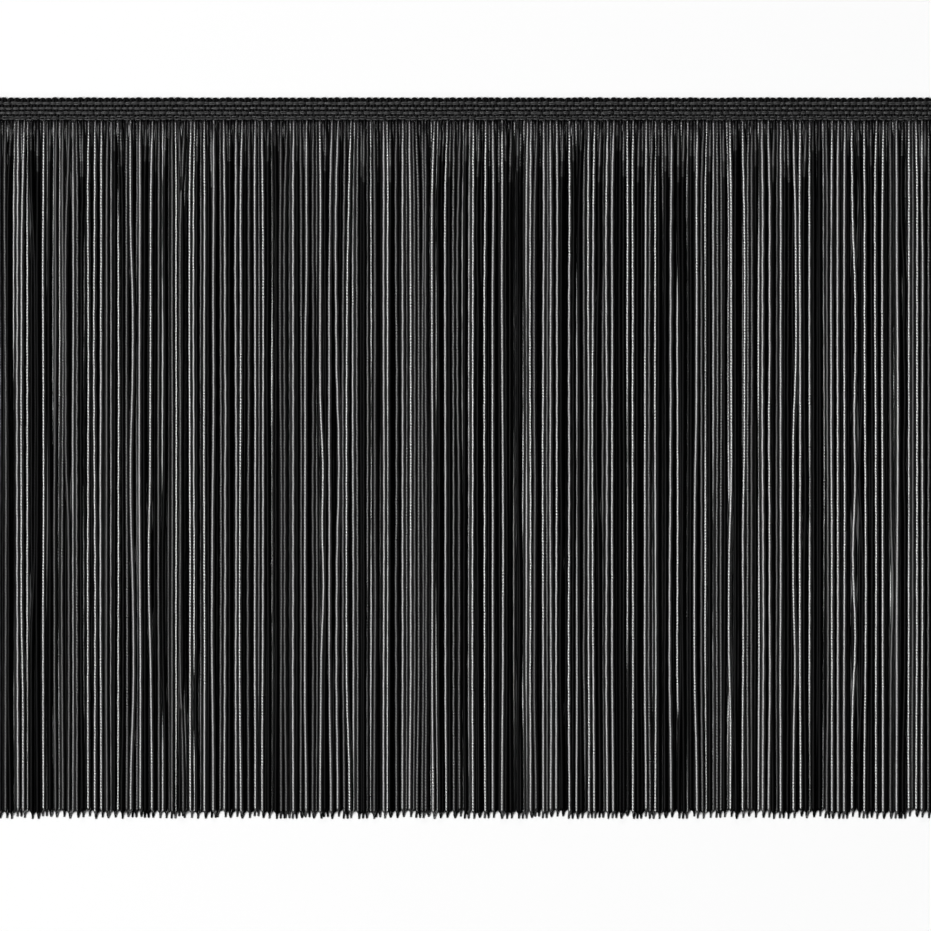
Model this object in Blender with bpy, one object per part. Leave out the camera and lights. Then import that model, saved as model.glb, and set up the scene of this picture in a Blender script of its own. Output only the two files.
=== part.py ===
"""Tassel fringe trim: a crocheted heading braid with one row of long looped yarn strands.

The trim lies flat on its back. X runs along the trim, +Y points up the drop to the heading's
top edge, +Z points out of the face, and the origin is the middle of the underside.
"""

import math
import random

import bmesh
import bpy

MM = 0.001

# Driving dimensions, in metres.
LOOP_PITCH = 2.76 * MM  # one yarn loop, with its front leg and its back leg
LOOP_COUNT = 148
END_MARGIN = 0.4 * MM  # braid beyond the first and the last loop, where the trim is cut
TRIM_HEIGHT = 310 * MM  # top edge of the heading to the lowest loop end
HEADING_HEIGHT = 10 * MM  # the whole braid, the root row included
ROOT_ROW_HEIGHT = 2.1 * MM  # lowest chain row, which grips the strands
ROOT_ROW_TOP = 2.8 * MM  # its height over the surface below
ROOT_ROW_UNDERCUT = 0.25 * MM  # how far its far edge stands off the surface
SEAM_GAP = 0.36 * MM  # parts the root row from the rest of the braid
SEAM_WAVE = 0.05 * MM  # stitches shift the seam to and fro by this
SCALLOP_HEIGHT = 0.6 * MM  # turning loops along the top edge
SCALLOP_TOP = 1.8 * MM  # their height over the surface below
BRAID_STATIONS = 25  # places along the braid where its rows bend a little
BRAID_BEND = 0.08 * MM
STRAND_WIDTH = 1.9 * MM
STRAND_THICKNESS = 1.2 * MM
STRAND_CROWN = 0.55  # width of a strand's upper face, as a share of its lower face
LAYER_GAP = 0.3 * MM  # between the back legs and the front legs
ROOT_BULGE = 0.1 * MM  # the root row's lower face stands out this far between the layers
LOOP_END_LENGTH = 2.6 * MM  # the tapered end of a loop
LOOP_END_SIZE = 0.3  # size at the very end, as a share of the strand's size
LOOP_END_PULL = 0.35 * MM  # how far the two legs of a loop close in on each other
UNEVEN_ENDS = 2.0 * MM  # how far the loop ends differ in height
SWAY = 0.8 * MM  # how far groups of strands drift sideways
JITTER = 0.1 * MM  # how far one strand drifts by itself
RANDOM_SEED = 30

# Section of the braid from the top edge down: chain rows with grooves between them.
BRAID_SECTION = (
    {"below_top": 1.0 * MM, "height": 1.9 * MM},
    {"below_top": 1.8 * MM, "height": 2.8 * MM},
    {"below_top": 2.8 * MM, "height": 2.8 * MM},
    {"below_top": 3.4 * MM, "height": 2.2 * MM},
    {"below_top": 4.0 * MM, "height": 2.7 * MM},
    {"below_top": 4.8 * MM, "height": 2.7 * MM},
    {"below_top": 5.4 * MM, "height": 2.2 * MM},
    {"below_top": 6.0 * MM, "height": 2.7 * MM},
    {"below_top": 6.9 * MM, "height": 2.7 * MM},
    {"below_top": 7.5 * MM, "height": 2.2 * MM},
)

# Worked out from the sizes above.
TRIM_LENGTH = LOOP_COUNT * LOOP_PITCH + 2 * END_MARGIN
TOP_EDGE = TRIM_HEIGHT / 2
LOWEST_END = -TRIM_HEIGHT / 2
HEADING_FOOT = TOP_EDGE - HEADING_HEIGHT
SEAM_Y = HEADING_FOOT + ROOT_ROW_HEIGHT
FRONT_LAYER = STRAND_THICKNESS + LAYER_GAP

COLLECTION_NAME = "tassel_fringe_trim"


def clear_scene():
    for old in list(bpy.data.objects):
        bpy.data.objects.remove(old)


def yarn_material(name, colour, roughness):
    material = bpy.data.materials.new(name)
    material.use_nodes = True
    shader = material.node_tree.nodes["Principled BSDF"]
    shader.inputs["Base Color"].default_value = (*colour, 1)
    shader.inputs["Roughness"].default_value = roughness
    shader.inputs["Metallic"].default_value = 0
    return material


def loop_left(loop):
    """X of a loop's left side. One past the last loop gives the right side of the last one."""
    return (loop - LOOP_COUNT / 2) * LOOP_PITCH


def add_row(work, places):
    """Adds points along X, to be joined to the rows next to them."""
    return [work.verts.new(place) for place in places]


def bridge(work, first, second):
    """Joins two rows of points by a strip of triangles, whichever row has more points."""
    a = 0
    b = 0
    while a < len(first) - 1 or b < len(second) - 1:
        middle = math.inf
        if a < len(first) - 1:
            middle = first[a].co.x + first[a + 1].co.x
        if b == len(second) - 1 or middle <= second[b].co.x + second[b + 1].co.x:
            work.faces.new((first[a], first[a + 1], second[b]))
            a += 1
        else:
            work.faces.new((first[a], second[b + 1], second[b]))
            b += 1


def bridge_ring(work, rows):
    """Closes a body whose rows go round its section, with a cap at each end."""
    for first, second in zip(rows, rows[1:] + rows[:1]):
        bridge(work, first, second)
    work.faces.new([row[0] for row in rows])
    work.faces.new([row[-1] for row in rows])


def finish_body(name, work, collection, material):
    bmesh.ops.recalc_face_normals(work, faces=work.faces)
    mesh = bpy.data.meshes.new(name)
    work.to_mesh(mesh)
    work.free()
    body = bpy.data.objects.new(name, mesh)
    body.data.materials.append(material)
    collection.objects.link(body)
    return body


def scallop_places(height):
    """Top edge of the braid: a low arch wherever the yarn turns from one loop to the next."""
    valley = TOP_EDGE - SCALLOP_HEIGHT
    places = [(-TRIM_LENGTH / 2, TOP_EDGE, height)]
    for loop in range(LOOP_COUNT):
        left = loop_left(loop)
        places.append((left + 0.2 * LOOP_PITCH, TOP_EDGE, height))
        places.append((left + 0.5 * LOOP_PITCH, valley, height))
        places.append((left + 0.8 * LOOP_PITCH, TOP_EDGE, height))
    places.append((TRIM_LENGTH / 2, TOP_EDGE, height))
    return places


def make_braid(collection, material):
    """The heading above the root row, as a loft from its scalloped edge over its chain rows."""
    chance = random.Random(RANDOM_SEED)
    stations = []
    for number in range(BRAID_STATIONS):
        x = (number / (BRAID_STATIONS - 1) - 0.5) * TRIM_LENGTH
        stations.append((x, chance.uniform(-BRAID_BEND, BRAID_BEND)))
    foot = {"below_top": HEADING_HEIGHT - ROOT_ROW_HEIGHT - SEAM_GAP, "height": 0}

    work = bmesh.new()
    rows = [add_row(work, scallop_places(0)), add_row(work, scallop_places(SCALLOP_TOP))]
    for line in (*BRAID_SECTION, foot):
        y = TOP_EDGE - line["below_top"]
        rows.append(add_row(work, [(x, y + bend, line["height"]) for x, bend in stations]))
    bridge_ring(work, rows)
    return finish_body("heading", work, collection, material)


def sideways_sway(x, share_of_drop):
    """Smooth drift that neighbouring strands share, none at the roots."""
    wave = math.sin(x / (31 * MM) + 2.5 * share_of_drop) + 0.6 * math.sin(x / (13 * MM) + 1.7)
    return SWAY / 1.6 * wave * share_of_drop


def strand_stations(x, end_height, towards_partner, chance):
    """Where one leg of a loop bends below its root, with its size at each place."""
    bend = chance.uniform(0.35, 0.6)
    middle = x + sideways_sway(x, bend) + chance.uniform(-JITTER, JITTER)
    end = x + sideways_sway(x, 1) + chance.uniform(-JITTER, JITTER)
    return (
        {"x": middle, "y": HEADING_FOOT + bend * (end_height - HEADING_FOOT), "size": 1},
        {"x": end, "y": end_height + LOOP_END_LENGTH, "size": 1},
        {"x": end + towards_partner, "y": end_height, "size": LOOP_END_SIZE},
    )


def strand_corners(station, layer):
    """Four corners of a strand's section, the two on its lower face first."""
    half_foot = station["size"] * STRAND_WIDTH / 2
    half_crown = half_foot * STRAND_CROWN
    top = layer + station["size"] * STRAND_THICKNESS
    return (
        (station["x"] - half_foot, station["y"], layer),
        (station["x"] + half_foot, station["y"], layer),
        (station["x"] + half_crown, station["y"], top),
        (station["x"] - half_crown, station["y"], top),
    )


def add_strand(work, root, stations, layer):
    """Lofts one strand from its root's corners through its stations to its closed end."""
    ring = root
    for station in stations:
        corners = add_row(work, strand_corners(station, layer))
        for side in range(4):
            after = (side + 1) % 4
            work.faces.new((ring[side], ring[after], corners[after], corners[side]))
        ring = corners
    work.faces.new(ring)


def root_places(side, half_width, y, height):
    """Both edges of each root of one layer, between the two ends of the root row."""
    places = [(-TRIM_LENGTH / 2, y, height)]
    for loop in range(LOOP_COUNT):
        x = loop_left(loop + 0.5) + side * LOOP_PITCH / 4
        places.append((x - half_width, y, height))
        places.append((x + half_width, y, height))
    places.append((TRIM_LENGTH / 2, y, height))
    return places


def seam_places(height):
    """Far edge of the root row, which steps to and fro from stitch to stitch."""
    places = []
    for loop in range(LOOP_COUNT + 1):
        share = loop / LOOP_COUNT - 0.5
        shift = SEAM_WAVE if loop % 2 else -SEAM_WAVE
        places.append((share * TRIM_LENGTH, SEAM_Y + shift, height))
    return places


def make_fringe(collection, material):
    """The root row and the strands that grow out of it, as one loft."""
    chance = random.Random(RANDOM_SEED)
    lifts = [chance.uniform(0, UNEVEN_ENDS) for loop in range(LOOP_COUNT)]
    lifts[LOOP_COUNT // 2] = 0
    half_foot = STRAND_WIDTH / 2
    half_crown = half_foot * STRAND_CROWN
    inner = HEADING_FOOT
    outer = HEADING_FOOT + ROOT_BULGE

    work = bmesh.new()
    far_edge = [
        add_row(work, seam_places(ROOT_ROW_TOP)),
        add_row(work, seam_places(ROOT_ROW_UNDERCUT)),
    ]
    layers = (
        {"side": 1, "height": 0, "foot_y": outer, "crown_y": inner},
        {"side": -1, "height": FRONT_LAYER, "foot_y": inner, "crown_y": outer},
    )
    near_edge = []
    for layer in layers:
        side = layer["side"]
        low = layer["height"]
        high = low + STRAND_THICKNESS
        foot = add_row(work, root_places(side, half_foot, layer["foot_y"], low))
        crown = add_row(work, root_places(side, half_crown, layer["crown_y"], high))
        near_edge.append((foot, crown))
        for gap in range(LOOP_COUNT + 1):
            span = slice(2 * gap, 2 * gap + 2)
            bridge(work, foot[span], crown[span])
        for loop in range(LOOP_COUNT):
            left = 2 * loop + 1
            root = (foot[left], foot[left + 1], crown[left + 1], crown[left])
            x = loop_left(loop + 0.5) + side * LOOP_PITCH / 4
            end_height = LOWEST_END + lifts[loop]
            stations = strand_stations(x, end_height, -side * LOOP_END_PULL, chance)
            add_strand(work, root, stations, low)

    (back_foot, back_crown), (front_foot, front_crown) = near_edge
    bridge(work, back_crown, front_foot)
    bridge(work, front_crown, far_edge[0])
    bridge(work, far_edge[0], far_edge[1])
    bridge(work, far_edge[1], back_foot)
    for end in (0, -1):
        around = (back_foot, back_crown, front_foot, front_crown, *far_edge)
        work.faces.new([row[end] for row in around])
    return finish_body("fringe", work, collection, material)


def main():
    clear_scene()
    collection = bpy.data.collections.new(COLLECTION_NAME)
    bpy.context.scene.collection.children.link(collection)
    make_braid(collection, yarn_material("braid_yarn", (0.020, 0.020, 0.021), 0.75))
    make_fringe(collection, yarn_material("strand_yarn", (0.012, 0.012, 0.013), 0.4))


main()
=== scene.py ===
"""Tassel fringe trim laid flat: a crocheted heading braid and its long looped yarn strands."""

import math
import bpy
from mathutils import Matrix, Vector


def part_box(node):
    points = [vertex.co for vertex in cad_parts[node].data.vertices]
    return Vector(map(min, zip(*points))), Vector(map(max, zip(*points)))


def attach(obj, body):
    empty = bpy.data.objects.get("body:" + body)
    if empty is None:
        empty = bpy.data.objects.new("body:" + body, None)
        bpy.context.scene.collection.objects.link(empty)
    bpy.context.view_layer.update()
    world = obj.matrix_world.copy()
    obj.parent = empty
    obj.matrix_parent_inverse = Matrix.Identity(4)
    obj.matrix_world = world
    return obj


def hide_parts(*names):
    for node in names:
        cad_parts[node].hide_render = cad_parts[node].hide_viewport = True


bl_info = {
    "name": "Tassel fringe trim",
    "version": (1, 0, 0),
    "blender": (4, 5, 0),
    "location": "3D View > Sidebar > Fringe",
    "description": "Looped yarn fringe on a crocheted heading braid, laid flat under soft light",
    "category": "Add Mesh",
}

import bpy
import numpy as np
from bpy.props import FloatProperty, FloatVectorProperty, IntProperty, PointerProperty

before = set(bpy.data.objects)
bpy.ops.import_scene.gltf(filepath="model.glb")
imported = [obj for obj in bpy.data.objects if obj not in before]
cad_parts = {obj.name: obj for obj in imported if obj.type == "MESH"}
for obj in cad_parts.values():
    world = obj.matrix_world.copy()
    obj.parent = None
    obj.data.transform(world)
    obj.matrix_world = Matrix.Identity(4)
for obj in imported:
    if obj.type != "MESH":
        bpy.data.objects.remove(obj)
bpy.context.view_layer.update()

MM = 0.001
HEADING_LOW, HEADING_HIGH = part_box("heading")
TOP_EDGE = HEADING_HIGH.y
LOWEST_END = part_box("fringe")[0].y

# Chain rows of the heading, from the top edge down, in millimetres: place, width and half
# width of the yarn, with an offset in loop pitches. The last one grips the strands.
CHAIN_ROWS = (
    {"name": "turning_row", "below_top": 2.5, "width": 1.6, "yarn": 0.42, "offset": 0.0},
    {"name": "upper_row", "below_top": 4.65, "width": 1.3, "yarn": 0.4, "offset": 0.4},
    {"name": "middle_row", "below_top": 6.6, "width": 1.5, "yarn": 0.4, "offset": 0.15},
    {"name": "root_row", "below_top": 8.85, "width": 2.0, "yarn": 0.4, "offset": 0.55},
)

# The lower end of a loop, in millimetres above its tip: how far its two legs are from the
# tip sideways and in height, as shares of their place in the fringe, and how wide the yarn is.
LOOP_END = (
    {"above": 4.2, "share": 1.0, "level": 1.0, "half_width": 0.95},
    {"above": 3.7, "share": 0.99, "level": 1.0, "half_width": 0.93},
    {"above": 3.3, "share": 0.94, "level": 1.0, "half_width": 0.84},
    {"above": 2.95, "share": 0.8, "level": 0.95, "half_width": 0.7},
    {"above": 2.6, "share": 0.52, "level": 0.75, "half_width": 0.45},
    {"above": 2.2, "share": 0.26, "level": 0.42, "half_width": 0.31},
    {"above": 1.75, "share": 0.12, "level": 0.18, "half_width": 0.26},
    {"above": 1.25, "share": 0.05, "level": 0.08, "half_width": 0.24},
    {"above": 0.7, "share": 0.02, "level": 0.03, "half_width": 0.23},
    {"above": 0.3, "share": 0.0, "level": 0.0, "half_width": 0.25},
)
WIDEST_END = LOOP_END[0]["half_width"]

# Where the yarn folds up between the two points of a doubled loop end, in millimetres
# to the side of its middle and above its points.
DOUBLED_END = (
    (-0.93, 0.15),
    (-0.83, 0.0),
    (-0.72, 0.15),
    (-0.66, 1.0),
    (-0.52, 1.9),
    (0.0, 2.6),
    (0.52, 1.9),
    (0.66, 1.0),
    (0.72, 0.15),
    (0.83, 0.0),
    (0.93, 0.15),
)

# Finishes of the yarn: its roughness where its tone is 1 and where it is 0, the wales round
# it, how strongly it mirrors the light and how deep its stitches look. A strand that turns
# shows its shiny face, its side, its edge or its dull reverse.
STRAND_FINISHES = {
    "strand_yarn_face": {"roughness": (0.22, 0.39), "wales": 4, "specular": 1.0, "bump": 0.55},
    "strand_yarn_side": {"roughness": (0.24, 0.4), "wales": 4, "specular": 0.3, "bump": 0.55},
    "strand_yarn_edge": {"roughness": (0.26, 0.41), "wales": 4, "specular": 0.12, "bump": 0.55},
    "strand_yarn_reverse": {"roughness": (0.28, 0.42), "wales": 4, "specular": 0.025, "bump": 0.5},
}
BRAID_FINISHES = {
    "chain_yarn_look": {"roughness": (0.38, 0.55), "wales": 2, "specular": 0.45, "bump": 0.6},
    "weft_yarn_look": {"roughness": (0.5, 0.6), "wales": 3, "specular": 0.14, "bump": 0.55},
    "turning_yarn_look": {"roughness": (0.5, 0.6), "wales": 3, "specular": 0.06, "bump": 0.55},
}

# Numbers of the strands' finishes, how brightly each shines, and how many full shines a
# millimetre of the trim has.
FACE, SIDE, EDGE, REVERSE = range(4)
FINISH_SHINE = (1.0, 0.35, 0.15, 0.05)
SHINE_PER_MM = 0.28

# Relief of the knitted yarn: how far its stitches slant, in stitches over a wale's width, how
# high stitches and fibres stand and how far a wale rounds off, as shares of the depth, and
# how many streaks of fibre there are round the yarn and along a stitch.
STITCH_SLANT = 1.6
STITCH_HEIGHT = 0.35
FIBRE_HEIGHT = 0.5
WALE_ROUNDING = 2.4
RELIEF_DEPTH = 0.1 * MM
FIBRE_STREAKS = (40, 3.5, 1)
YARN_IOR = 1.56

# Sides of the yarn's tubes, and the length of a stitch of the heading's yarn.
YARN_SIDES = 8
FINE_YARN_SIDES = 6
TURNING_STITCH = 1.1 * MM
FINE_STITCH = 0.5 * MM

# Waves along a strand, for its drift, its wobble, its height and its tone: how long each is
# and how far it goes.
DRIFT_WAVES = ((520 * MM, 0.3 * MM), (190 * MM, 0.2 * MM), (60 * MM, 0.08 * MM))
WOBBLE_WAVES = ((13 * MM, 0.05 * MM),)
HEIGHT_WAVES = ((26 * MM, 0.03 * MM),)
TONE_WAVES = ((230 * MM, 0.25), (24 * MM, 0.1))

RING_SPACING = 2.25 * MM
SMOOTHING = 12 * MM
LOOPS_PER_PIECE = 25

# Softboxes at the left, the right, the rear and the front of the trim: place and size in
# metres, turn in radians, and power as a share of the side light.
SIDE_LEAN = math.atan2(11, 14)
END_LEAN = math.atan2(12, 7)
SOFTBOXES = (
    ("left_softbox", (-11, 0.4, 14), (0, -SIDE_LEAN, 0), (5.2, 12), 1),
    ("right_softbox", (11, 0.4, 14), (0, SIDE_LEAN, 0), (5.2, 12), 0.03),
    ("rear_softbox", (0, 12, 7), (-END_LEAN, 0, 0), (4, 1.5), 0.05),
    ("front_softbox", (0, -12, 7), (END_LEAN, 0, 0), (4, 1.5), 0.03),
)

# The camera looks straight down at the trim's face, and its picture is this wide there.
CAMERA_DISTANCE = 2.2
FACE_LEVEL = 2 * MM
PICTURE_WIDTH = 0.4009
PICTURE_MIDDLE = -3.44 * MM
SENSOR_WIDTH = 36


class FringeSizes(bpy.types.PropertyGroup):
    """Sizes of the trim"""

    loop_pitch: FloatProperty(
        name="Loop pitch",
        description="Distance from one yarn loop to the next along the trim",
        default=2.76 * MM,
        unit="LENGTH",
    )
    loop_count: IntProperty(
        name="Loops",
        description="Yarn loops in the cut length, each with a front leg and a back leg",
        default=148,
    )
    heading_height: FloatProperty(
        name="Heading height",
        description="Height of the crocheted braid, with its root row",
        default=10 * MM,
        unit="LENGTH",
    )
    strand_width: FloatProperty(
        name="Strand width",
        description="Width of one strand of knitted yarn",
        default=1.9 * MM,
        unit="LENGTH",
    )
    strand_thickness: FloatProperty(
        name="Strand thickness",
        description="Thickness of one strand, which its neighbours press a little flat",
        default=1.45 * MM,
        unit="LENGTH",
    )
    stitch_length: FloatProperty(
        name="Stitch length",
        description="Length of one stitch of the knitted yarn",
        default=1.3 * MM,
        unit="LENGTH",
    )
    spread: FloatProperty(
        name="Spread",
        description="How far strands stray sideways from their place in the heading",
        default=0.75 * MM,
        unit="LENGTH",
    )


class FringeFinish(bpy.types.PropertyGroup):
    """Colours and light of the trim"""

    strand_colour: FloatVectorProperty(
        name="Strand colour",
        description="Colour of the shiny strands",
        subtype="COLOR",
        size=4,
        default=(0.0006, 0.0006, 0.0007, 1),
    )
    braid_colour: FloatVectorProperty(
        name="Braid colour",
        description="Colour of the heading's yarn",
        subtype="COLOR",
        size=4,
        default=(0.004, 0.004, 0.0042, 1),
    )
    floor_colour: FloatVectorProperty(
        name="Floor colour",
        description="Colour of the pale surface below the trim",
        subtype="COLOR",
        size=4,
        default=(0.84, 0.84, 0.84, 1),
    )
    side_light: FloatProperty(
        name="Side light",
        description="Power of the long soft light on the left",
        default=4480,
        unit="POWER",
    )


# Node helpers


def add_node(tree, kind, **values):
    node = tree.nodes.new(kind)
    for key, value in values.items():
        setattr(node, key, value)
    return node


def join(tree, source, target):
    tree.links.new(source, target)


def math_node(tree, operation, first, second=None):
    """A Math node whose inputs are sockets or numbers."""
    node = add_node(tree, "ShaderNodeMath", operation=operation)
    for index, value in enumerate((first, second)):
        if value is None:
            continue
        if isinstance(value, (int, float)):
            node.inputs[index].default_value = value
        else:
            join(tree, value, node.inputs[index])
    return node.outputs[0]


def new_material(name):
    material = bpy.data.materials.new(name)
    material.use_nodes = True
    return material, material.node_tree, material.node_tree.nodes["Principled BSDF"]


def shaded(colour, share):
    """The colour with its parts times a share, and full alpha."""
    return [share * part for part in colour[:3]] + [1]


def knitted_yarn_material(name, colour, roughness, wales, specular, bump):
    """Fine knitted yarn: slanting stitches in narrow wales, with a faint fibre grain whose hollows
    carry painted shade and whose crests carry a painted highlight.
    """
    _, tree, shader = new_material(name)
    place = add_node(tree, "ShaderNodeUVMap", uv_map="yarn")
    split = add_node(tree, "ShaderNodeSeparateXYZ")
    join(tree, place.outputs[0], split.inputs[0])
    across = math_node(tree, "MULTIPLY", split.outputs[0], wales)
    from_middle = math_node(tree, "SUBTRACT", math_node(tree, "FRACT", across), 0.5)
    from_middle = math_node(tree, "ABSOLUTE", from_middle)
    slant = math_node(tree, "MULTIPLY", from_middle, STITCH_SLANT)
    slanted = math_node(tree, "ADD", split.outputs[1], slant)
    wave = math_node(tree, "SINE", math_node(tree, "MULTIPLY", slanted, 2 * math.pi))
    stitch = math_node(tree, "MULTIPLY", wave, STITCH_HEIGHT)
    squared = math_node(tree, "POWER", from_middle, 2)
    wale = math_node(tree, "MULTIPLY", squared, -WALE_ROUNDING)
    height = math_node(tree, "ADD", stitch, wale)

    grain = add_node(tree, "ShaderNodeTexNoise")
    grain.inputs["Scale"].default_value = 1
    grain.inputs["Detail"].default_value = 3
    stretch = add_node(tree, "ShaderNodeMapping")
    stretch.inputs["Scale"].default_value = FIBRE_STREAKS
    join(tree, place.outputs[0], stretch.inputs[0])
    join(tree, stretch.outputs[0], grain.inputs["Vector"])
    fibres = math_node(tree, "MULTIPLY", grain.outputs[0], FIBRE_HEIGHT)
    height = math_node(tree, "ADD", height, fibres)
    relief = add_node(tree, "ShaderNodeBump")
    relief.inputs["Strength"].default_value = bump
    relief.inputs["Distance"].default_value = RELIEF_DEPTH
    join(tree, height, relief.inputs["Height"])
    join(tree, relief.outputs[0], shader.inputs["Normal"])

    # Painted shade and painted highlight: the base colour follows the fibre grain that also raises
    # the relief. It is 0.55 times darker in the grain's low streaks and 1.5 times lighter on its
    # high ones.
    shade = add_node(tree, "ShaderNodeValToRGB")
    painted_shade_stop, painted_highlight_stop = shade.color_ramp.elements
    painted_shade_stop.position = 0.3
    painted_shade_stop.color = shaded(colour, 0.55)
    painted_highlight_stop.position = 0.75
    painted_highlight_stop.color = shaded(colour, 1.5)
    join(tree, grain.outputs[0], shade.inputs[0])
    join(tree, shade.outputs[0], shader.inputs["Base Color"])

    tone = add_node(tree, "ShaderNodeAttribute", attribute_name="tone")
    span = add_node(tree, "ShaderNodeMapRange")
    span.inputs["To Min"].default_value = roughness[1]
    span.inputs["To Max"].default_value = roughness[0]
    join(tree, tone.outputs["Fac"], span.inputs["Value"])
    join(tree, span.outputs[0], shader.inputs["Roughness"])
    shader.inputs["Specular IOR Level"].default_value = specular
    shader.inputs["IOR"].default_value = YARN_IOR


def floor_material(name, colour):
    """Smooth matt paper with the faintest mottling."""
    material, tree, shader = new_material(name)
    mottle = add_node(tree, "ShaderNodeTexNoise")
    mottle.inputs["Scale"].default_value = 30
    blend = add_node(tree, "ShaderNodeMix", data_type="RGBA")
    blend.inputs["A"].default_value = colour
    blend.inputs["B"].default_value = shaded(colour, 0.995)
    place = add_node(tree, "ShaderNodeNewGeometry")
    join(tree, place.outputs["Position"], mottle.inputs["Vector"])
    join(tree, mottle.outputs[0], blend.inputs["Factor"])
    join(tree, blend.outputs["Result"], shader.inputs["Base Color"])
    shader.inputs["Roughness"].default_value = 0.9
    shader.inputs["Specular IOR Level"].default_value = 0
    return material


# Yarn as tubes


def smooth_step(value):
    value = np.clip(value, 0, 1)
    return value * value * (3 - 2 * value)


def add_tubes(name, paths, half_width, half_height, sides, stitch_length, tone, finish=None):
    """One mesh of yarn tubes along paths of points, all with the same number of points.

    half_width and half_height are the section's half axes, level and upright, at each point.
    tone is a number at each point, which the material reads, and finish the number of the
    material there.
    """
    count, points, _ = paths.shape
    along = np.gradient(paths, axis=1)
    along /= np.linalg.norm(along, axis=2, keepdims=True)
    across = np.cross(along, (0, 0, 1))
    across /= np.linalg.norm(across, axis=2, keepdims=True)
    upright = np.cross(across, along)
    turn = np.linspace(0, 2 * np.pi, sides, endpoint=False)
    ring = (
        paths[:, :, None]
        + across[:, :, None] * (half_width[..., None] * np.cos(turn))[..., None]
        + upright[:, :, None] * (half_height[..., None] * np.sin(turn))[..., None]
    )

    tube, row, side = np.meshgrid(
        np.arange(count), np.arange(points - 1), np.arange(sides), indexing="ij"
    )
    base = (tube * points + row) * sides
    after = (side + 1) % sides
    quads = np.stack([base + side, base + after, base + after + sides, base + side + sides], -1)
    step = np.linalg.norm(np.diff(paths, axis=1), axis=2)
    length = np.concatenate([np.zeros((count, 1)), np.cumsum(step, axis=1)], axis=1)
    length /= stitch_length
    here = length[:, :-1, None] + 0 * side
    there = length[:, 1:, None] + 0 * side
    left = side / sides
    right = (side + 1) / sides
    corner_places = ((left, here), (right, here), (right, there), (left, there))
    places = np.stack([np.stack(pair, -1) for pair in corner_places], -2)

    first_ring = np.arange(count)[:, None] * points * sides + np.arange(sides)
    last_ring = first_ring[:, ::-1] + (points - 1) * sides
    quads = quads.reshape(-1, 4)
    caps = np.concatenate([first_ring, last_ring])
    mesh = bpy.data.meshes.new(name)
    mesh.vertices.add(ring.size // 3)
    mesh.vertices.foreach_set("co", ring.reshape(-1))
    corners = np.concatenate([quads.reshape(-1), caps.reshape(-1)])
    mesh.loops.add(len(corners))
    mesh.loops.foreach_set("vertex_index", corners)
    sizes = np.concatenate([np.full(len(quads), 4), np.full(len(caps), sides)])
    mesh.polygons.add(len(sizes))
    mesh.polygons.foreach_set("loop_start", np.concatenate([[0], np.cumsum(sizes)[:-1]]))
    mesh.polygons.foreach_set("use_smooth", np.ones(len(sizes), dtype=bool))
    mesh.update(calc_edges=True)
    layer = mesh.uv_layers.new(name="yarn")
    flat = np.concatenate([places.reshape(-1), np.zeros(2 * caps.size)])
    layer.data.foreach_set("uv", flat)
    shade = mesh.attributes.new("tone", "FLOAT", "POINT")
    shade.data.foreach_set("value", np.repeat(tone.reshape(-1), sides))
    if finish is not None:
        numbers = np.zeros(len(sizes), dtype=np.int32)
        numbers[: len(quads)] = np.repeat(finish[:, :-1].reshape(-1), sides)
        mesh.polygons.foreach_set("material_index", numbers)
    mesh.validate()
    piece = bpy.data.objects.new(name, mesh)
    bpy.context.scene.collection.objects.link(piece)
    return piece


def tone_of_each(chance, paths):
    """A tone by chance for each tube, the same at all of its points."""
    return np.repeat(chance.random((len(paths), 1)), paths.shape[1], axis=1)


def dress(piece, slot, node, *finishes):
    """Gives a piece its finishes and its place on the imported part."""
    for finish in finishes:
        piece.data.materials.append(bpy.data.materials[finish])
    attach(piece, "root")
    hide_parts(node)


def loop_middles(sizes):
    """Where the middle of each yarn loop is along the trim."""
    return (np.arange(sizes.loop_count) - (sizes.loop_count - 1) / 2) * sizes.loop_pitch


class FRINGE_OT_braid_ground(bpy.types.Operator):
    """Adds the dark knitted ground of the heading, below the pieces that it carries"""

    bl_idname = "fringe.braid_ground"
    bl_label = "Braid ground"

    def execute(self, context):
        sizes = context.scene.fringe_sizes
        half = (HEADING_HIGH.x - HEADING_LOW.x) / 2
        high = TOP_EDGE - 0.55 * MM
        low = TOP_EDGE - sizes.heading_height + 0.15 * MM
        columns = 2 * sizes.loop_count
        x = np.linspace(-half, half, columns + 1)
        section = ((low, 0.05), (low, 0.9), ((low + high) / 2, 1.0), (high, 0.8), (high, 0.05))
        points = [(px, y, z * MM) for px in x for y, z in section]
        rows = len(section)
        faces = []
        for column in range(columns):
            for row in range(rows):
                after = (row + 1) % rows
                here = column * rows
                faces.append((here + row, here + after, here + rows + after, here + rows + row))
        faces.append(tuple(range(rows))[::-1])
        faces.append(tuple(columns * rows + row for row in range(rows)))
        mesh = bpy.data.meshes.new("braid_ground")
        mesh.from_pydata(points, [], faces)
        # The look's wales repeat along the band, and its stitches down it.
        wales_length, stitch_length = 8 * MM, 1.2 * MM
        layer = mesh.uv_layers.new(name="yarn")
        for corner in mesh.loops:
            place = mesh.vertices[corner.vertex_index].co
            layer.data[corner.index].uv = (place.x / wales_length, place.y / stitch_length)
        mesh.validate()
        piece = bpy.data.objects.new("braid_ground", mesh)
        context.scene.collection.objects.link(piece)
        dress(piece, "braid_yarn", "heading", "weft_yarn_look")
        return {"FINISHED"}


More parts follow.
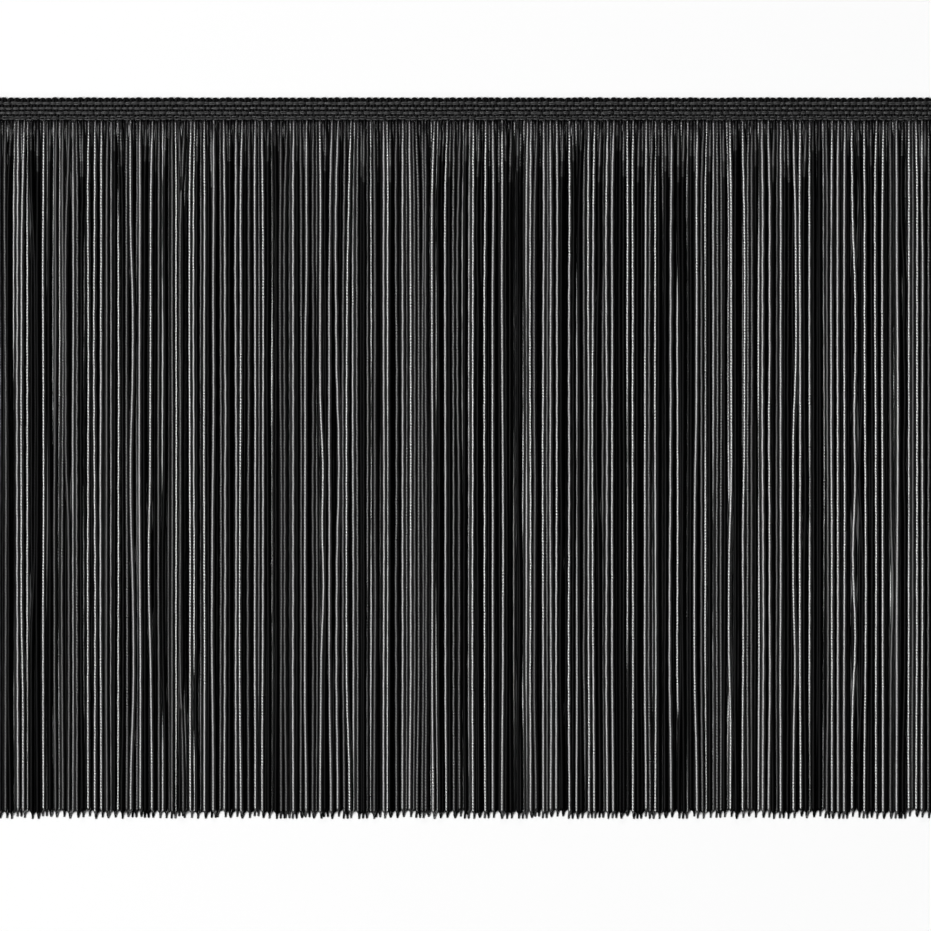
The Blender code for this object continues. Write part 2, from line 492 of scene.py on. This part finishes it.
class FRINGE_OT_turning_loops(bpy.types.Operator):
    """Adds the yarn that runs up through the heading and turns over its top edge"""

    bl_idname = "fringe.turning_loops"
    bl_label = "Turning loops"

    def execute(self, context):
        sizes = context.scene.fringe_sizes
        chance = np.random.default_rng(5)
        middles = loop_middles(sizes)[:-1] + sizes.loop_pitch / 2
        count = len(middles)
        reach = sizes.loop_pitch / 4
        yarn = 0.56 * MM
        foot = TOP_EDGE - sizes.heading_height + 0.4 * MM
        rise = 0.3 * MM
        crown = TOP_EDGE - yarn - rise + chance.uniform(0.05, 0.3, count) * MM
        up = np.linspace(0, 1, 7)
        arc = np.linspace(math.pi, 0, 9)
        paths = np.zeros((count, 2 * len(up) + len(arc), 3))
        tilt = chance.uniform(-0.3, 0.3, count) * MM
        for index in range(count):
            left = [(-reach, foot + (crown[index] - foot) * share) for share in up]
            over = [(reach * math.cos(a), crown[index] + rise * math.sin(a)) for a in arc]
            right = [(reach, foot + (crown[index] - foot) * share) for share in up[::-1]]
            level = np.array(left + over + right)
            lean = tilt[index] * (level[:, 1] - foot) / sizes.heading_height
            paths[index, :, 0] = middles[index] + level[:, 0] + lean
            paths[index, :, 1] = level[:, 1]
            paths[index, :, 2] = (1.15 + 0.1 * chance.uniform(-1, 1)) * MM
        width = np.full(paths.shape[:2], yarn)
        tone = tone_of_each(chance, paths)
        height = 0.85 * width
        piece = add_tubes(
            "turning_loops", paths, width, height, YARN_SIDES, TURNING_STITCH, tone
        )
        dress(piece, "braid_yarn", "heading", "turning_yarn_look")
        return {"FINISHED"}


class FRINGE_OT_chain_rows(bpy.types.Operator):
    """Adds the chain rows of the heading, two slanting legs to each stitch"""

    bl_idname = "fringe.chain_rows"
    bl_label = "Chain rows"

    def execute(self, context):
        sizes = context.scene.fringe_sizes
        chance = np.random.default_rng(11)
        pitch = sizes.loop_pitch
        starts = loop_middles(sizes) - 0.75 * pitch
        # Each stitch overlaps the next.
        reach = 1.7 * pitch
        share = np.linspace(0, 1, 9)
        swell = np.sin(math.pi * share)
        for row in CHAIN_ROWS:
            y = TOP_EDGE - row["below_top"] * MM
            half = (row["width"] / 2 - row["yarn"]) * MM
            paths = []
            for start in starts + row["offset"] * pitch:
                start = start + chance.uniform(-0.3, 0.3) * MM
                length = reach * chance.uniform(0.85, 1.15)
                lean = chance.uniform(-0.12, 0.12) * MM
                rise = chance.uniform(-0.16, 0.12) * MM
                for hand in (-1, 1):
                    spread = half * chance.uniform(0.7, 1.2)
                    along = start + length * share
                    across = y + lean + hand * spread * np.sin(math.pi * share**0.8)
                    height = 1.75 * MM + rise + 0.5 * MM * swell**0.6
                    paths.append(np.stack([along, across, height], axis=1))
            paths = np.array(paths)
            paths[:, :, 0] = np.clip(paths[:, :, 0], HEADING_LOW.x, HEADING_HIGH.x)
            # Keeps points that were clipped at a cut end a hair apart.
            paths[:, :, 0] += share * 0.001 * MM
            width = np.broadcast_to(row["yarn"] * MM * (0.55 + 0.45 * swell), paths.shape[:2])
            tone = tone_of_each(chance, paths)
            piece = add_tubes(
                row["name"], paths, width, 0.9 * width, FINE_YARN_SIDES, FINE_STITCH, tone
            )
            dress(piece, "braid_yarn", "heading", "chain_yarn_look")
        return {"FINISHED"}


class FRINGE_OT_cross_stitches(bpy.types.Operator):
    """Adds the slanting stitches between the middle row and the root row"""

    bl_idname = "fringe.cross_stitches"
    bl_label = "Cross stitches"

    def execute(self, context):
        sizes = context.scene.fringe_sizes
        chance = np.random.default_rng(17)
        step = sizes.loop_pitch / 2
        half = (HEADING_HIGH.x - HEADING_LOW.x) / 2 - step
        starts = np.arange(-half, half, step)
        share = np.linspace(0, 1, 7)
        count = len(starts)
        lean = chance.uniform(0.2, 0.8, count) * np.where(np.arange(count) % 2, -1, 1) * MM
        middle = starts + chance.uniform(-0.3, 0.3, count) * MM
        top = TOP_EDGE - (6.7 + chance.uniform(-0.3, 0.3, count)) * MM
        low = TOP_EDGE - (8.3 + chance.uniform(-0.3, 0.4, count)) * MM
        swell = np.sin(math.pi * share)
        paths = np.zeros((count, len(share), 3))
        paths[:, :, 0] = middle[:, None] + lean[:, None] * (share - 0.5)
        paths[:, :, 1] = top[:, None] + (low - top)[:, None] * share
        paths[:, :, 2] = (1.45 + 0.4 * swell + chance.uniform(-0.1, 0.15, (count, 1))) * MM
        width = np.broadcast_to(0.32 * MM * (0.6 + 0.4 * swell), paths.shape[:2])
        tone = tone_of_each(chance, paths)
        piece = add_tubes(
            "cross_stitches", paths, width, 0.9 * width, FINE_YARN_SIDES, FINE_STITCH, tone
        )
        dress(piece, "braid_yarn", "heading", "weft_yarn_look")
        return {"FINISHED"}


# Strands


def stray(chance, count, drop, waves):
    """Smooth change of each leg along its drop, none at its root, as a sum of waves."""
    drift = np.zeros((count, len(drop)))
    for length, size in waves:
        phase = chance.uniform(0, 2 * np.pi, (count, 1))
        own_size = size * chance.uniform(0.4, 1.4, (count, 1))
        own_length = length * chance.uniform(0.75, 1.3, (count, 1))
        drift += own_size * (np.sin(drop / own_length * 2 * np.pi + phase) - np.sin(phase))
    return drift


def lay_legs(x, order, half_width, half_height):
    """Height of every leg where each lies on the legs laid before it, as strands pile up."""
    height = np.zeros_like(x)
    laid = []
    for leg in order:
        low = np.full(x.shape[1], half_height)
        if laid:
            apart = np.abs(x[laid] - x[leg])
            touch = np.clip(1 - (apart / (2 * half_width)) ** 2, 0, None)
            rest = height[laid] + 2 * half_height * np.sqrt(touch)
            low = np.maximum(low, np.where(touch > 0, rest, 0).max(axis=0))
        height[leg] = low
        laid.append(leg)
    return height


def close_gaps(x, widest):
    """Draws legs together until no gap between neighbours lets the floor show."""
    order = np.argsort(x, axis=0)
    packed = np.take_along_axis(x, order, axis=0)
    rounds, pull = 80, 0.45
    for _ in range(rounds):
        excess = np.clip(np.diff(packed, axis=0) - widest, 0, None)
        packed[:-1] += pull * excess
        packed[1:] -= pull * excess
    closed = np.empty_like(x)
    np.put_along_axis(closed, order, packed, axis=0)
    return closed


def smooth_along(values, spacing, reach):
    """Gaussian average along each leg."""
    steps = int(3 * reach / spacing)
    weights = np.exp(-0.5 * (np.arange(-steps, steps + 1) * spacing / reach) ** 2)
    weights /= weights.sum()
    padded = np.pad(values, ((0, 0), (steps, steps)), mode="edge")
    return np.array([np.convolve(line, weights, mode="valid") for line in padded])


def lit_share(x, z, half_width):
    """Share of each leg's length on which no higher leg covers the side that meets the light."""
    share = np.empty(len(x))
    for leg, (place, height) in enumerate(zip(x - 0.5 * half_width, z)):
        covered = (np.abs(x - place) < half_width) & (z > height)
        share[leg] = 1 - covered.any(axis=0).mean()
    return share


def turn_legs(chance, x, share):
    """Turns each leg's face, side or reverse up, with the shine spread evenly along the trim."""
    places = x.mean(axis=1)
    finish = np.empty(len(x), dtype=int)
    owed = 0.0
    last = places.min()
    for leg in np.argsort(places):
        owed += SHINE_PER_MM * (places[leg] - last) / MM
        last = places[leg]
        wanted = owed + chance.normal(0, 0.25) - 0.5 * (1 - share[leg])
        finish[leg] = FACE if wanted > 0.5 else SIDE if wanted > 0.25 else REVERSE
        owed -= FINISH_SHINE[finish[leg]] * share[leg]
    return finish


def round_loops(values):
    """Values of each leg as values along its loop, carried round its lower end."""
    ends = len(LOOP_END)
    down = np.pad(values[0::2], ((0, 0), (0, ends + len(DOUBLED_END))), mode="edge")
    up = np.pad(values[1::2], ((0, 0), (0, ends)), mode="edge")
    return np.concatenate([down, up[:, ::-1]], axis=1)


class FRINGE_OT_strands(bpy.types.Operator):
    """Adds the long yarn loops, which hang side by side and partly over each other"""

    bl_idname = "fringe.strands"
    bl_label = "Looped strands"

    def execute(self, context):
        sizes = context.scene.fringe_sizes
        chance = np.random.default_rng(23)
        foot = TOP_EDGE - sizes.heading_height
        start = foot + 0.6 * MM
        stop = LOWEST_END + 6 * MM
        y = np.arange(start, stop, -RING_SPACING)
        drop = foot - y
        x, steady = self.spread_legs(chance, sizes, drop)
        z, rank = self.stack_legs(chance, sizes, x, drop)
        x = x + stray(chance, len(x), drop, WOBBLE_WAVES) * steady
        finish, tone = self.turn_yarn(chance, sizes, x, z, drop)
        paths, above_end = self.close_loops(chance, x, y, z, rank)
        width, thick = self.section_sizes(sizes, paths, foot, above_end)
        tone = np.clip(round_loops(tone), 0, 1)
        finish = round_loops(finish)
        for number, first in enumerate(range(0, sizes.loop_count, LOOPS_PER_PIECE)):
            span = slice(first, first + LOOPS_PER_PIECE)
            piece = add_tubes(
                f"looped_strands_{number + 1}",
                paths[span],
                width[span],
                thick[span],
                YARN_SIDES,
                sizes.stitch_length,
                tone[span],
                finish[span],
            )
            dress(piece, "strand_yarn", "fringe", *STRAND_FINISHES)
        return {"FINISHED"}

    def spread_legs(self, chance, sizes, drop):
        """Where each leg runs sideways, and how freely it moves, which is less at its end."""
        count = sizes.loop_count
        legs = 2 * count
        roots = np.repeat(loop_middles(sizes), 2)
        roots = roots + np.tile([-1, 1], count) * sizes.loop_pitch / 4
        loop_stray = np.repeat(chance.normal(0, 0.8, count), 2)
        leg_stray = chance.normal(0, 0.7, legs)
        offset = np.clip(loop_stray + leg_stray, -2.2, 2.2) * sizes.spread
        steady = 1 - 0.6 * smooth_step((drop - 230 * MM) / (65 * MM))
        own_path = smooth_step(drop / (30 * MM)) * offset[:, None]
        drift = stray(chance, legs, drop, DRIFT_WAVES)
        own_path = own_path + smooth_step(drop / (60 * MM)) * drift
        x = roots[:, None] + own_path * steady
        widest_gap = 0.92 * sizes.strand_width
        return smooth_along(close_gaps(x, widest_gap), RING_SPACING, SMOOTHING), steady

    def stack_legs(self, chance, sizes, x, drop):
        """How high each leg lies, and its rank: most front legs lie on the back legs."""
        half_width = sizes.strand_width / 2
        half_height = sizes.strand_thickness / 2
        highest = 2.6 * MM
        front = np.tile([1.0, 0.0], sizes.loop_count)
        rank = front + chance.normal(0, 0.42, len(x))
        z = lay_legs(x, np.argsort(rank), 0.95 * half_width, half_height)
        z = smooth_along(z, RING_SPACING, SMOOTHING)
        z = np.minimum(z, highest) + stray(chance, len(x), drop, HEIGHT_WAVES)
        z = np.maximum(z, half_height)
        root_z = np.where(rank > 0.5, 1.2, 0.8) * MM
        part = smooth_step(drop / (chance.uniform(3.5, 8, (len(x), 1)) * MM))
        return root_z[:, None] + (z - root_z[:, None]) * part, rank

    def turn_yarn(self, chance, sizes, x, z, drop):
        """Finish and tone of each leg. Below its root a dull leg still turns to its reverse."""
        share = lit_share(x, z, sizes.strand_width / 2)
        finish = turn_legs(chance, x, share)[:, None]
        dull = finish == REVERSE
        past_turn = drop - chance.uniform(3, 20, (len(x), 1)) * MM
        finish = np.where(dull & (past_turn < 7 * MM), EDGE, finish)
        finish = np.where(dull & (past_turn < 0) & (drop > 2 * MM), SIDE, finish)
        tone = chance.random((len(x), 1)) + stray(chance, len(x), drop, TONE_WAVES)
        return finish, tone * smooth_step(drop / (9 * MM))

    def section_sizes(self, sizes, paths, foot, above_end):
        """Half axes of the yarn: pinched below the root row and drawn in at the loop's end."""
        widths = np.interp(
            above_end / MM,
            [level["above"] for level in LOOP_END][::-1],
            [level["half_width"] for level in LOOP_END][::-1],
        )
        pinch = 0.62 + 0.38 * smooth_step((foot - paths[:, :, 1]) / (14 * MM))
        width = widths / WIDEST_END * (sizes.strand_width / 2) * pinch
        drawn_in = 0.45 + 0.55 * smooth_step(above_end / (3.3 * MM))
        thick = sizes.strand_thickness / 2 * drawn_in
        above_floor = paths[:, :, 2] - 0.02 * MM
        return width, np.minimum(thick, above_floor)

    def close_loops(self, chance, x, y, z, rank):
        """Joins every two legs to one loop, drawn in to a narrow tip at its lower end."""
        count = len(x) // 2
        end_y = LOWEST_END + (1.1 * chance.random(count) ** 1.6 - 0.57) * MM
        upper = np.where(rank[0::2] > rank[1::2], x[0::2, -1], x[1::2, -1])
        tip_x = 0.6 * upper + 0.4 * (x[0::2, -1] + x[1::2, -1]) / 2 - 0.1 * MM
        slit = chance.choice([0.12, 0.32, 0.5], count, p=[0.45, 0.35, 0.2]) * MM
        doubled = chance.random(count) < 0.25
        doubled_reach = 0.95 * MM
        low = 0.38 * MM
        # In millimetres, as DOUBLED_END is.
        tip_radius = 0.12
        sides = []
        for hand in (0, 1):
            sign = 2 * hand - 1
            own_x = x[hand::2, -1]
            own_z = z[hand::2, -1]
            level = np.zeros((count, len(LOOP_END), 3))
            for index, end in enumerate(LOOP_END):
                apart = np.where(doubled, doubled_reach, slit * min(1, end["above"] / 1.2))
                near = tip_x + sign * apart
                level[:, index, 0] = near + (own_x - near) * end["share"]
                level[:, index, 1] = end_y + end["above"] * MM
                level[:, index, 2] = low + (own_z - low) * end["level"]
            leg = np.stack([x[hand::2], np.broadcast_to(y, (count, len(y))), z[hand::2]], axis=2)
            sides.append(np.concatenate([leg, level], axis=1))
        tip = np.full((count, len(DOUBLED_END), 3), low)
        turn = np.linspace(-math.pi / 2, math.pi / 2, len(DOUBLED_END))
        for index, (aside, above) in enumerate(DOUBLED_END):
            round_x = tip_radius * math.sin(turn[index])
            round_y = tip_radius * (1 - math.cos(turn[index]))
            tip[:, index, 0] = tip_x + np.where(doubled, aside, round_x) * MM
            tip[:, index, 1] = end_y + np.where(doubled, above, round_y) * MM
        paths = np.concatenate([sides[0], tip, sides[1][:, ::-1]], axis=1)
        return paths, paths[:, :, 1] - end_y[:, None]


class FRINGE_OT_materials(bpy.types.Operator):
    """Makes the finishes of the yarn"""

    bl_idname = "fringe.materials"
    bl_label = "Yarn finishes"

    def execute(self, context):
        finish = context.scene.fringe_finish
        for name, look in STRAND_FINISHES.items():
            knitted_yarn_material(name, finish.strand_colour, **look)
        for name, look in BRAID_FINISHES.items():
            knitted_yarn_material(name, finish.braid_colour, **look)
        return {"FINISHED"}


class FRINGE_OT_studio(bpy.types.Operator):
    """Adds the pale floor, the soft lights and the camera above the trim"""

    bl_idname = "fringe.studio"
    bl_label = "Studio"

    def execute(self, context):
        finish = context.scene.fringe_finish
        scene = context.scene
        mesh = bpy.data.meshes.new("floor")
        reach = 6
        corners = [(-reach, -reach, 0), (reach, -reach, 0), (reach, reach, 0), (-reach, reach, 0)]
        mesh.from_pydata(corners, [], [(0, 1, 2, 3)])
        floor = bpy.data.objects.new("floor", mesh)
        floor.location.z = -0.02 * MM
        floor.data.materials.append(floor_material("floor_paper", finish.floor_colour))
        scene.collection.objects.link(floor)

        world = bpy.data.worlds.new("studio")
        scene.world = world
        world.use_nodes = True
        backdrop = world.node_tree.nodes["Background"]
        backdrop.inputs["Color"].default_value = (1, 1, 1, 1)
        backdrop.inputs["Strength"].default_value = 0.02
        for name, place, turn, size, share in SOFTBOXES:
            self.add_softbox(scene, name, place, turn, size, share * finish.side_light)

        lens = bpy.data.cameras.new("camera")
        lens.sensor_width = SENSOR_WIDTH
        lens.lens = SENSOR_WIDTH * CAMERA_DISTANCE / PICTURE_WIDTH
        lens.clip_start = 0.05
        camera = bpy.data.objects.new("camera", lens)
        camera.location = (0, PICTURE_MIDDLE, CAMERA_DISTANCE + FACE_LEVEL)
        scene.collection.objects.link(camera)
        scene.camera = camera
        scene.view_settings.view_transform = "Standard"
        return {"FINISHED"}

    def add_softbox(self, scene, name, place, turn, size, power):
        light = bpy.data.lights.new(name, "AREA")
        light.shape = "RECTANGLE"
        light.size, light.size_y = size
        light.energy = power
        box = bpy.data.objects.new(name, light)
        box.location = place
        box.rotation_euler = turn
        box.visible_camera = False
        scene.collection.objects.link(box)


class FRINGE_PT_panel(bpy.types.Panel):
    """Lists the pieces of the trim, with their sizes and colours"""

    bl_idname = "FRINGE_PT_panel"
    bl_label = "Tassel fringe trim"
    bl_space_type = "VIEW_3D"
    bl_region_type = "UI"
    bl_category = "Fringe"

    def draw(self, context):
        layout = self.layout
        for group in (context.scene.fringe_sizes, context.scene.fringe_finish):
            column = layout.column()
            for key in group.__annotations__:
                column.prop(group, key)
        for piece in PIECES:
            layout.operator(piece.bl_idname)


PIECES = (
    FRINGE_OT_materials,
    FRINGE_OT_turning_loops,
    FRINGE_OT_chain_rows,
    FRINGE_OT_cross_stitches,
    FRINGE_OT_strands,
    FRINGE_OT_braid_ground,
    FRINGE_OT_studio,
)
CLASSES = (FringeSizes, FringeFinish, *PIECES, FRINGE_PT_panel)


def register():
    for item in CLASSES:
        bpy.utils.register_class(item)
    bpy.types.Scene.fringe_sizes = PointerProperty(type=FringeSizes)
    bpy.types.Scene.fringe_finish = PointerProperty(type=FringeFinish)


def unregister():
    del bpy.types.Scene.fringe_finish
    del bpy.types.Scene.fringe_sizes
    for item in reversed(CLASSES):
        bpy.utils.unregister_class(item)


def main():
    register()
    bpy.ops.fringe.materials()
    bpy.ops.fringe.turning_loops()
    bpy.ops.fringe.chain_rows()
    bpy.ops.fringe.cross_stitches()
    bpy.ops.fringe.strands()
    bpy.ops.fringe.braid_ground()
    bpy.ops.fringe.studio()


if __name__ == "__main__":
    main()
